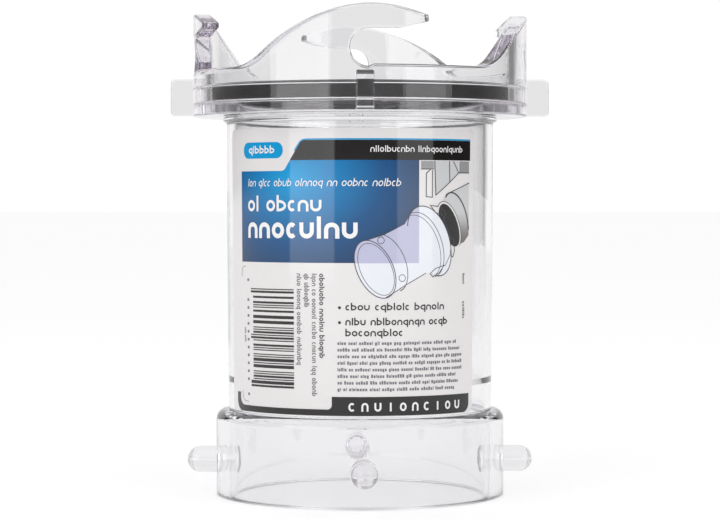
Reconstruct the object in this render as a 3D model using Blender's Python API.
"""Clear bayonet extender for a caravan waste outlet.

A straight clear tube carries a welded collar with four lug pins at its foot, and a swivelling
locking ring with four bayonet hooks at its head. A rubber channel seal wraps the tube's head flange.
+Z runs up the tube, the origin is the centre of the collar's end face, and one finger ear,
one hook and one lug pin point along -Y. Lengths are in metres.
"""

from math import cos, pi, radians, sin, tan

import bmesh
import bpy
from mathutils import Matrix, Vector

MM = 0.001

# Driving dimensions: the waterway and the walls around it, from the bore outwards.
BORE_RADIUS = 43.8 * MM
BORE_STEP = 0.5 * MM
TUBE_WALL = 3.3 * MM
TUBE_DRAFT = 0.75 * MM
STOP_SHOULDER = 0.35 * MM
COLLAR_WALL = 4.5 * MM
COUPLING_CLEARANCE = 1.9 * MM
RING_WALL = 6.1 * MM
EAR_REACH = 7.9 * MM
LUG_REACH = 10.2 * MM
SEAL_SKIRT = 1.4 * MM

# Driving dimensions along the tube.
TUBE_LENGTH = 141.8 * MM
COLLAR_HEIGHT = 30.2 * MM
LUG_HEIGHT = 12.2 * MM
FLANGE_THICKNESS = 2.0 * MM
SEAL_LIP = 1.7 * MM
RING_LIP = 4.5 * MM
BEAD_HEIGHT = 1.8 * MM
BEAD_SLOPE = 0.6 * MM
BORE_STEP_ABOVE_COLLAR = 9.8 * MM
BORE_STEP_LENGTH = 2.0 * MM

# Round and small features.
LUG_RADIUS = 4.6 * MM
COLLAR_ROUND = 3.4 * MM
EDGE_CHAMFER = 0.5 * MM
BEAD_CATCH = 0.7 * MM
EAR_THICKNESS = 6.0 * MM
EAR_HEIGHT = 13.1 * MM
EAR_LIFT = 0.4 * MM
EAR_BEVEL = 0.7 * MM

# Clearances.
GAP = 0.3 * MM
SWIVEL_CLEARANCE = 0.5 * MM
SLOT_CLEARANCE = 1.74 * MM
SEAL_SQUEEZE = 1.6 * MM
SLOT_DETENT = 0.75 * MM
DETENT_RUN = 1.5 * MM
LUG_WAY_CLEARANCE = 9.86 * MM

# The hook's outline, measured round the outside of the ring from the ear's centre line.
HOOK_COUNT = 4
SLOT_OFFSET = 1.5 * MM
RAMP_REACH = 35.5 * MM
RAMP_RISE = 6.0 * MM
CREST_OFFSET = 2.4 * MM
ARM_THICKNESS = 8.27 * MM
TIP_REACH = 22.3 * MM
TIP_LIFT = 2.2 * MM
TIP_HEIGHT = 2.2 * MM
JAW_LENGTH = 11.0 * MM

# Slopes of that outline in degrees, and each curve's two handles as shares of the curve's own length.
RAMP_SLOPE = 37.0
TIP_SLOPE = -20.0
RAMP_HANDLES = (0.45, 0.35)
RISE_HANDLES = (0.16, 0.43)
ARM_HANDLES = (0.33, 0.31)

# Labels: heights in metres, arcs in degrees from +X, anticlockwise seen from above.
LABEL_THICKNESS = 0.3 * MM
LABEL_CORNER = 2.5 * MM
LABEL_CLEARANCE = 0.8 * MM
FRONT_LABEL_TOP_GAP = 2.9 * MM
FRONT_LABEL_ARC = (-161.5, -36.0)
BACK_LABEL_HEIGHT = 54.9 * MM
BACK_LABEL_ARC = (57.5, 177.5)

# Facets.
FACETS = 64
PIN_FACETS = 16
DOME_RINGS = 4
CURVE_STEPS = 9
SLOT_STEPS = 12
CORNER_STEPS = 3
SHARP_ANGLE = 30.0
LINE_SNAP = 0.2 * MM
WELD = 0.001 * MM

# Radii that follow.
FOOT_BORE_RADIUS = BORE_RADIUS + BORE_STEP
TUBE_HEAD_RADIUS = BORE_RADIUS + TUBE_WALL
TUBE_FOOT_RADIUS = TUBE_HEAD_RADIUS - TUBE_DRAFT
SPIGOT_RADIUS = TUBE_FOOT_RADIUS - STOP_SHOULDER
COLLAR_BORE_RADIUS = SPIGOT_RADIUS + GAP
COLLAR_RADIUS = COLLAR_BORE_RADIUS + COLLAR_WALL
RING_BORE_RADIUS = COLLAR_RADIUS + COUPLING_CLEARANCE
RING_RADIUS = RING_BORE_RADIUS + RING_WALL
RING_LIP_RADIUS = TUBE_HEAD_RADIUS + SWIVEL_CLEARANCE
BEAD_RADIUS = RING_LIP_RADIUS + BEAD_CATCH
SEAL_RADIUS = RING_BORE_RADIUS - SWIVEL_CLEARANCE
SEAL_GROOVE_RADIUS = SEAL_RADIUS - SEAL_SKIRT
FLANGE_RADIUS = SEAL_GROOVE_RADIUS - GAP
EAR_RADIUS = RING_RADIUS + EAR_REACH
LUG_TIP_RADIUS = COLLAR_RADIUS + LUG_REACH

# Heights that follow, from the tube's head downwards and then up the hooks.
FLANGE_UNDERSIDE = TUBE_LENGTH - FLANGE_THICKNESS
SEAL_BOTTOM = FLANGE_UNDERSIDE - GAP - SEAL_LIP
SEAL_TOP = TUBE_LENGTH + GAP + SEAL_LIP
RING_LIP_TOP = SEAL_BOTTOM - GAP
RING_BOTTOM = RING_LIP_TOP - RING_LIP
BEAD_TOP = RING_BOTTOM - GAP
BEAD_BOTTOM = BEAD_TOP - BEAD_HEIGHT
SLOT_RADIUS = LUG_RADIUS + SLOT_CLEARANCE
SLOT_CENTRE = SEAL_TOP - SEAL_SQUEEZE + LUG_HEIGHT
JAW_HEIGHT = SLOT_CENTRE + SLOT_RADIUS
RIM_HEIGHT = SLOT_CENTRE - SLOT_RADIUS + SLOT_DETENT
CREST_HEIGHT = JAW_HEIGHT + ARM_THICKNESS
EAR_BOTTOM = RING_BOTTOM + EAR_LIFT
WALL_LINE = (EAR_BOTTOM + EAR_HEIGHT + RIM_HEIGHT - SLOT_DETENT) / 2
FRONT_LABEL_SPAN = (COLLAR_HEIGHT + LABEL_CLEARANCE, BEAD_BOTTOM - FRONT_LABEL_TOP_GAP)
BACK_LABEL_MIDDLE = (COLLAR_HEIGHT + BEAD_BOTTOM) / 2
BACK_LABEL_SPAN = (
    BACK_LABEL_MIDDLE - BACK_LABEL_HEIGHT / 2,
    BACK_LABEL_MIDDLE + BACK_LABEL_HEIGHT / 2,
)

# Lengths round the outside of the ring.
HOOK_PITCH = 2 * pi * RING_RADIUS / HOOK_COUNT
FOOT_REACH = HOOK_PITCH - TIP_REACH - 2 * LUG_RADIUS - LUG_WAY_CLEARANCE
EAR_ANGLES = [2 * pi * k / HOOK_COUNT - pi / 2 for k in range(HOOK_COUNT)]
SIDE_NAMES = ("front", "right", "back", "left")


def material(name, colour, roughness, transmission=0.0, alpha=1.0):
    """A Principled BSDF in one colour."""
    made = bpy.data.materials.new(name)
    made.use_nodes = True
    shader = made.node_tree.nodes["Principled BSDF"]
    shader.inputs["Base Color"].default_value = (*colour, 1.0)
    shader.inputs["Roughness"].default_value = roughness
    shader.inputs["Metallic"].default_value = 0.0
    shader.inputs["Transmission Weight"].default_value = transmission
    shader.inputs["Alpha"].default_value = alpha
    made.diffuse_color = (*colour, alpha)
    return made


def mesh_object(name, bm, finish, parent=None):
    """Turns a bmesh into a smooth-shaded object with one material."""
    bmesh.ops.remove_doubles(bm, verts=bm.verts, dist=WELD)
    bmesh.ops.recalc_face_normals(bm, faces=bm.faces)
    mesh = bpy.data.meshes.new(name)
    bm.to_mesh(mesh)
    bm.free()
    mesh.shade_smooth()
    mesh.set_sharp_from_angle(angle=radians(SHARP_ANGLE))
    made = bpy.data.objects.new(name, mesh)
    bpy.context.scene.collection.objects.link(made)
    made.data.materials.append(finish)
    made.parent = parent
    return made


def helper(made):
    """Marks an object as a cutter or an added shape, which isn't a part of its own."""
    made.hide_render = True
    made.display_type = "WIRE"
    return made


def boolean(target, other, operation):
    """Adds an exact Boolean between a part and a helper."""
    cut = target.modifiers.new(f"{operation.lower()} {other.name}", "BOOLEAN")
    cut.operation = operation
    cut.solver = "EXACT"
    cut.object = other


def spin_profile(bm, profile, facets, closed=False):
    """Spins a (radius, height) profile once round Z, inside a bmesh."""
    points = [bm.verts.new((radius, 0, height)) for radius, height in profile]
    first = 0 if closed else 1
    edges = [bm.edges.new((points[k - 1], points[k])) for k in range(first, len(points))]
    bmesh.ops.spin(
        bm, geom=points + edges, cent=(0, 0, 0), axis=(0, 0, 1), angle=2 * pi, steps=facets
    )


def lathe(name, profile, finish, facets=FACETS, parent=None):
    """A solid of revolution from a closed profile, or from an open one that ends on the axis."""
    bm = bmesh.new()
    on_axis = profile[0][0] == 0 and profile[-1][0] == 0
    spin_profile(bm, profile, facets, closed=not on_axis)
    return mesh_object(name, bm, finish, parent=parent)


def wrap(name, outline, inner, outer, arc_radius, finish, foot=None, parent=None):
    """Bends a flat outline round Z and gives it thickness.

    The outline's first coordinate is a length round a circle of arc_radius and its second a height.
    inner and outer give the shell's two radii at a height. Outline points close to a facet line move
    onto it, so that no sliver is left beside the line.
    With a foot, the outline runs right round with a straight lower edge, and the foot, an open
    (radius, height) profile from the inner shell to the outer one, is spun to close it from below.
    """
    facet = 2 * pi * arc_radius / FACETS
    points = []
    for along, height in outline:
        line = round(along / facet) * facet
        points.append((line if abs(along - line) < LINE_SNAP else along, height))
    bm = bmesh.new()
    bm.faces.new([bm.verts.new((along, 0, height)) for along, height in points])
    ends = [min(p[0] for p in points), max(p[0] for p in points)]
    low = min(p[1] for p in points)
    for k in range(round(ends[0] / facet) - 1, round(ends[1] / facet) + 2):
        bmesh.ops.bisect_plane(
            bm,
            geom=bm.verts[:] + bm.edges[:] + bm.faces[:],
            plane_co=(k * facet, 0, 0),
            plane_no=(1, 0, 0),
            dist=LINE_SNAP / 10,
        )
    bmesh.ops.triangulate(bm, faces=bm.faces[:])
    flat = [(v.co.x, v.co.z) for v in bm.verts]
    bm.verts.index_update()
    faces = [[v.index for v in f.verts] for f in bm.faces]
    rims = [[v.index for v in e.verts] for e in bm.edges if e.is_boundary]
    bm.free()

    def bent(radius_at):
        for along, height in flat:
            angle = along / arc_radius
            yield radius_at(height) * cos(angle), radius_at(height) * sin(angle), height

    def left_open(pair):
        on_seam = any(all(abs(flat[i][0] - end) < WELD for i in pair) for end in ends)
        return foot and (on_seam or all(abs(flat[i][1] - low) < WELD for i in pair))

    solid = bmesh.new()
    shells = [[solid.verts.new(p) for p in bent(radius)] for radius in (inner, outer)]
    for corners in faces:
        for shell in shells:
            solid.faces.new([shell[i] for i in corners])
    for a, b in rims:
        if not left_open((a, b)):
            solid.faces.new((shells[0][a], shells[0][b], shells[1][b], shells[1][a]))
    if foot:
        spin_profile(solid, foot, FACETS)
    return mesh_object(name, solid, finish, parent=parent)


def curve(start, end, slopes, handles, steps=CURVE_STEPS):
    """Points along a cubic curve that leaves and arrives at the given slopes, its start left out."""
    span = end[0] - start[0]
    leave = (handles[0] * span, handles[0] * span * tan(radians(slopes[0])))
    arrive = (handles[1] * span, handles[1] * span * tan(radians(slopes[1])))
    corners = (
        start,
        (start[0] + leave[0], start[1] + leave[1]),
        (end[0] - arrive[0], end[1] - arrive[1]),
        end,
    )
    found = []
    for k in range(1, steps + 1):
        t = k / steps
        weights = ((1 - t) ** 3, 3 * t * (1 - t) ** 2, 3 * t * t * (1 - t), t**3)
        found.append(tuple(sum(w * p[i] for w, p in zip(weights, corners)) for i in (0, 1)))
    return found


def hook_edge():
    """One hook's upper edge, from its foot to the floor of its slot, centred on its ear."""
    foot = (-FOOT_REACH, RIM_HEIGHT)
    ramp = (-RAMP_REACH, RIM_HEIGHT + RAMP_RISE)
    crest = (CREST_OFFSET, CREST_HEIGHT)
    jaw = (SLOT_OFFSET + JAW_LENGTH, JAW_HEIGHT)
    tip_under = (TIP_REACH, JAW_HEIGHT + TIP_LIFT)
    tip_over = (TIP_REACH, JAW_HEIGHT + TIP_LIFT + TIP_HEIGHT)
    edge = [foot]
    edge += curve(foot, ramp, (0, RAMP_SLOPE), RAMP_HANDLES)
    edge += curve(ramp, crest, (RAMP_SLOPE, 0), RISE_HANDLES, 2 * CURVE_STEPS)
    edge += curve(crest, tip_over, (0, TIP_SLOPE), ARM_HANDLES)
    edge += [tip_under, jaw]
    for k in range(SLOT_STEPS + 1):
        turn = pi / 2 + pi * k / SLOT_STEPS
        edge.append(
            (SLOT_OFFSET + SLOT_RADIUS * cos(turn), SLOT_CENTRE + SLOT_RADIUS * sin(turn))
        )
    edge.append((SLOT_OFFSET + DETENT_RUN, RIM_HEIGHT))
    return edge


def ring_outline():
    """The locking ring's wall above WALL_LINE, laid flat, with one hook for each ear.

    It starts on the facet line nearest the middle of the gap between two hooks.
    """
    facet = 2 * pi * RING_RADIUS / FACETS
    start = facet * round((-HOOK_PITCH - FOOT_REACH + TIP_REACH) / 2 / facet)
    top = [(start, RIM_HEIGHT)]
    for k in range(HOOK_COUNT):
        top += [(along + k * HOOK_PITCH, height) for along, height in hook_edge()]
    end = start + HOOK_COUNT * HOOK_PITCH
    top.append((end, RIM_HEIGHT))
    return [(end, WALL_LINE), (start, WALL_LINE), *top]


def build_tube(finish):
    """The straight tube with its head flange, snap bead, stepped bore and thinner welded spigot."""
    step_low = COLLAR_HEIGHT + BORE_STEP_ABOVE_COLLAR
    profile = [
        (FOOT_BORE_RADIUS + EDGE_CHAMFER, 0),
        (SPIGOT_RADIUS, 0),
        (SPIGOT_RADIUS, COLLAR_HEIGHT + GAP),
        (TUBE_FOOT_RADIUS, COLLAR_HEIGHT + GAP),
        (TUBE_HEAD_RADIUS, BEAD_BOTTOM),
        (BEAD_RADIUS, BEAD_BOTTOM + BEAD_SLOPE),
        (BEAD_RADIUS, BEAD_TOP),
        (TUBE_HEAD_RADIUS, BEAD_TOP),
        (TUBE_HEAD_RADIUS, FLANGE_UNDERSIDE),
        (FLANGE_RADIUS, FLANGE_UNDERSIDE),
        (FLANGE_RADIUS, TUBE_LENGTH),
        (BORE_RADIUS + EDGE_CHAMFER, TUBE_LENGTH),
        (BORE_RADIUS, TUBE_LENGTH - EDGE_CHAMFER),
        (BORE_RADIUS, step_low + BORE_STEP_LENGTH),
        (FOOT_BORE_RADIUS, step_low),
        (FOOT_BORE_RADIUS, EDGE_CHAMFER),
    ]
    return lathe("tube", profile, finish)


def build_collar(finish):
    """The hoop round the tube's foot that the next fitting couples to."""
    profile = [
        (COLLAR_BORE_RADIUS, 0),
        (COLLAR_RADIUS - EDGE_CHAMFER, 0),
        (COLLAR_RADIUS, EDGE_CHAMFER),
    ]
    for k in range(CORNER_STEPS + 2):
        turn = pi / 2 * k / (CORNER_STEPS + 1)
        profile.append(
            (
                COLLAR_RADIUS - COLLAR_ROUND + COLLAR_ROUND * cos(turn),
                COLLAR_HEIGHT - COLLAR_ROUND + COLLAR_ROUND * sin(turn),
            )
        )
    profile.append((COLLAR_BORE_RADIUS, COLLAR_HEIGHT))
    return lathe("lug_collar", profile, finish)


def pin_profile():
    """A lug pin's half section: (radius, distance from the tube's axis)."""
    inner_end = FOOT_BORE_RADIUS + GAP
    dome_start = LUG_TIP_RADIUS - LUG_RADIUS
    profile = [
        (0, inner_end),
        (LUG_RADIUS - EDGE_CHAMFER, inner_end),
        (LUG_RADIUS, inner_end + EDGE_CHAMFER),
        (LUG_RADIUS, dome_start),
    ]
    for k in range(1, DOME_RINGS):
        turn = pi / 2 * k / DOME_RINGS
        profile.append((LUG_RADIUS * cos(turn), dome_start + LUG_RADIUS * sin(turn)))
    profile.append((0, LUG_TIP_RADIUS))
    return profile


def build_pin(name, angle, finish, parent):
    """A round-nosed pin lying along its own radius of the collar."""
    pin = lathe(name, pin_profile(), finish, PIN_FACETS, parent)
    outward = Vector((cos(angle), sin(angle), 0))
    pin.location = (0, 0, LUG_HEIGHT)
    pin.rotation_euler = outward.to_track_quat("Z", "Y").to_euler()
    return pin


def pin_hole(name, angle, finish):
    """The round hole that a lug pin passes through, as a cutter from inside the bore to the pin's tip."""
    bm = bmesh.new()
    ends = (BORE_RADIUS - LUG_RADIUS, LUG_TIP_RADIUS)
    outward = Vector((cos(angle), sin(angle), 0))
    middle = outward * sum(ends) / 2 + Vector((0, 0, LUG_HEIGHT))
    bmesh.ops.create_cone(
        bm,
        cap_ends=True,
        segments=PIN_FACETS,
        radius1=LUG_RADIUS + GAP,
        radius2=LUG_RADIUS + GAP,
        depth=ends[1] - ends[0],
        matrix=Matrix.Translation(middle) @ outward.to_track_quat("Z", "Y").to_matrix().to_4x4(),
    )
    return helper(mesh_object(name, bm, finish))


def build_ear(name, angle, finish):
    """A finger ear: a plain block from inside the ring's wall out to its own reach."""
    root = RING_RADIUS - RING_WALL / 2
    bm = bmesh.new()
    bmesh.ops.create_cube(bm, size=1.0)
    for v in bm.verts:
        v.co.x = EAR_RADIUS if v.co.x > 0 else root
        v.co.y *= EAR_THICKNESS
        v.co.z = EAR_BOTTOM + (EAR_HEIGHT if v.co.z > 0 else 0)
    outer = [e for e in bm.edges if all(v.co.x > RING_RADIUS for v in e.verts)]
    bmesh.ops.bevel(bm, geom=outer, offset=EAR_BEVEL, segments=2, affect="EDGES", profile=0.5)
    bmesh.ops.rotate(bm, verts=bm.verts, cent=(0, 0, 0), matrix=Matrix.Rotation(angle, 3, "Z"))
    return helper(mesh_object(name, bm, finish))


def build_ring(finish, parent):
    """The locking ring: a hooked wall, an inner lip that rides under the seal, and four ears."""
    wall_start = EAR_ANGLES[0] * RING_RADIUS
    outline = [(along + wall_start, height) for along, height in ring_outline()]
    foot = [
        (RING_BORE_RADIUS, WALL_LINE),
        (RING_BORE_RADIUS, RING_LIP_TOP),
        (RING_LIP_RADIUS, RING_LIP_TOP),
        (RING_LIP_RADIUS, RING_BOTTOM + EDGE_CHAMFER),
        (RING_LIP_RADIUS + EDGE_CHAMFER, RING_BOTTOM),
        (RING_RADIUS - EDGE_CHAMFER, RING_BOTTOM),
        (RING_RADIUS, RING_BOTTOM + EDGE_CHAMFER),
        (RING_RADIUS, WALL_LINE),
    ]
    ring = wrap(
        "locking_ring",
        outline,
        lambda height: RING_BORE_RADIUS,
        lambda height: RING_RADIUS,
        RING_RADIUS,
        finish,
        foot=foot,
        parent=parent,
    )
    for side, angle in zip(SIDE_NAMES, EAR_ANGLES):
        boolean(ring, build_ear(f"ear_shape_{side}", angle, finish), "UNION")
    return ring


def build_seal(finish):
    """The rubber channel that wraps the tube's flange and takes the mating collar's end face."""
    profile = [
        (TUBE_HEAD_RADIUS + GAP, SEAL_BOTTOM),
        (SEAL_RADIUS - EDGE_CHAMFER, SEAL_BOTTOM),
        (SEAL_RADIUS, SEAL_BOTTOM + EDGE_CHAMFER),
        (SEAL_RADIUS, SEAL_TOP - EDGE_CHAMFER),
        (SEAL_RADIUS - EDGE_CHAMFER, SEAL_TOP),
        (BORE_RADIUS + EDGE_CHAMFER, SEAL_TOP),
        (BORE_RADIUS, SEAL_TOP - EDGE_CHAMFER),
        (BORE_RADIUS, TUBE_LENGTH + GAP),
        (SEAL_GROOVE_RADIUS, TUBE_LENGTH + GAP),
        (SEAL_GROOVE_RADIUS, FLANGE_UNDERSIDE - GAP),
        (TUBE_HEAD_RADIUS + GAP, FLANGE_UNDERSIDE - GAP),
    ]
    return lathe("end_seal", profile, finish)


def tube_radius_at(height):
    """The drafted tube's outside radius between the collar and the snap bead."""
    share = (height - COLLAR_HEIGHT - GAP) / (BEAD_BOTTOM - COLLAR_HEIGHT - GAP)
    return TUBE_FOOT_RADIUS + (TUBE_HEAD_RADIUS - TUBE_FOOT_RADIUS) * share


def build_label(name, span, arc, finish):
    """A round-cornered label wrapped on the tube's drafted outside."""
    low, high = span
    left, right = (radians(angle) * TUBE_HEAD_RADIUS for angle in arc)
    corners = (
        (right - LABEL_CORNER, high - LABEL_CORNER, 0),
        (left + LABEL_CORNER, high - LABEL_CORNER, 1),
        (left + LABEL_CORNER, low + LABEL_CORNER, 2),
        (right - LABEL_CORNER, low + LABEL_CORNER, 3),
    )
    outline = []
    for along, height, quarter in corners:
        for k in range(CORNER_STEPS + 1):
            turn = pi / 2 * (quarter + k / CORNER_STEPS)
            outline.append((along + LABEL_CORNER * cos(turn), height + LABEL_CORNER * sin(turn)))
    return wrap(
        name,
        outline,
        lambda height: tube_radius_at(height) + GAP,
        lambda height: tube_radius_at(height) + GAP + LABEL_THICKNESS,
        TUBE_HEAD_RADIUS,
        finish,
    )


def main():
    for made in list(bpy.data.objects):
        bpy.data.objects.remove(made)

    clear = material("clear_polycarbonate", (0.90, 0.91, 0.92), 0.05, 1.0, 0.35)
    rubber = material("black_rubber", (0.02, 0.02, 0.02), 0.6)
    paper = material("printed_label", (0.90, 0.89, 0.89), 0.4)

    swivel = bpy.data.objects.new("ring_swivel", None)
    bpy.context.scene.collection.objects.link(swivel)

    tube = build_tube(clear)
    collar = build_collar(clear)
    for side, angle in zip(SIDE_NAMES, EAR_ANGLES):
        hole = pin_hole(f"pin_hole_{side}", angle, clear)
        boolean(tube, hole, "DIFFERENCE")
        boolean(collar, hole, "DIFFERENCE")
        build_pin(f"lug_pin_{side}", angle, clear, collar)
    build_ring(clear, swivel)
    build_seal(rubber)
    build_label("front_label", FRONT_LABEL_SPAN, FRONT_LABEL_ARC, paper)
    build_label("back_label", BACK_LABEL_SPAN, BACK_LABEL_ARC, paper)


main()
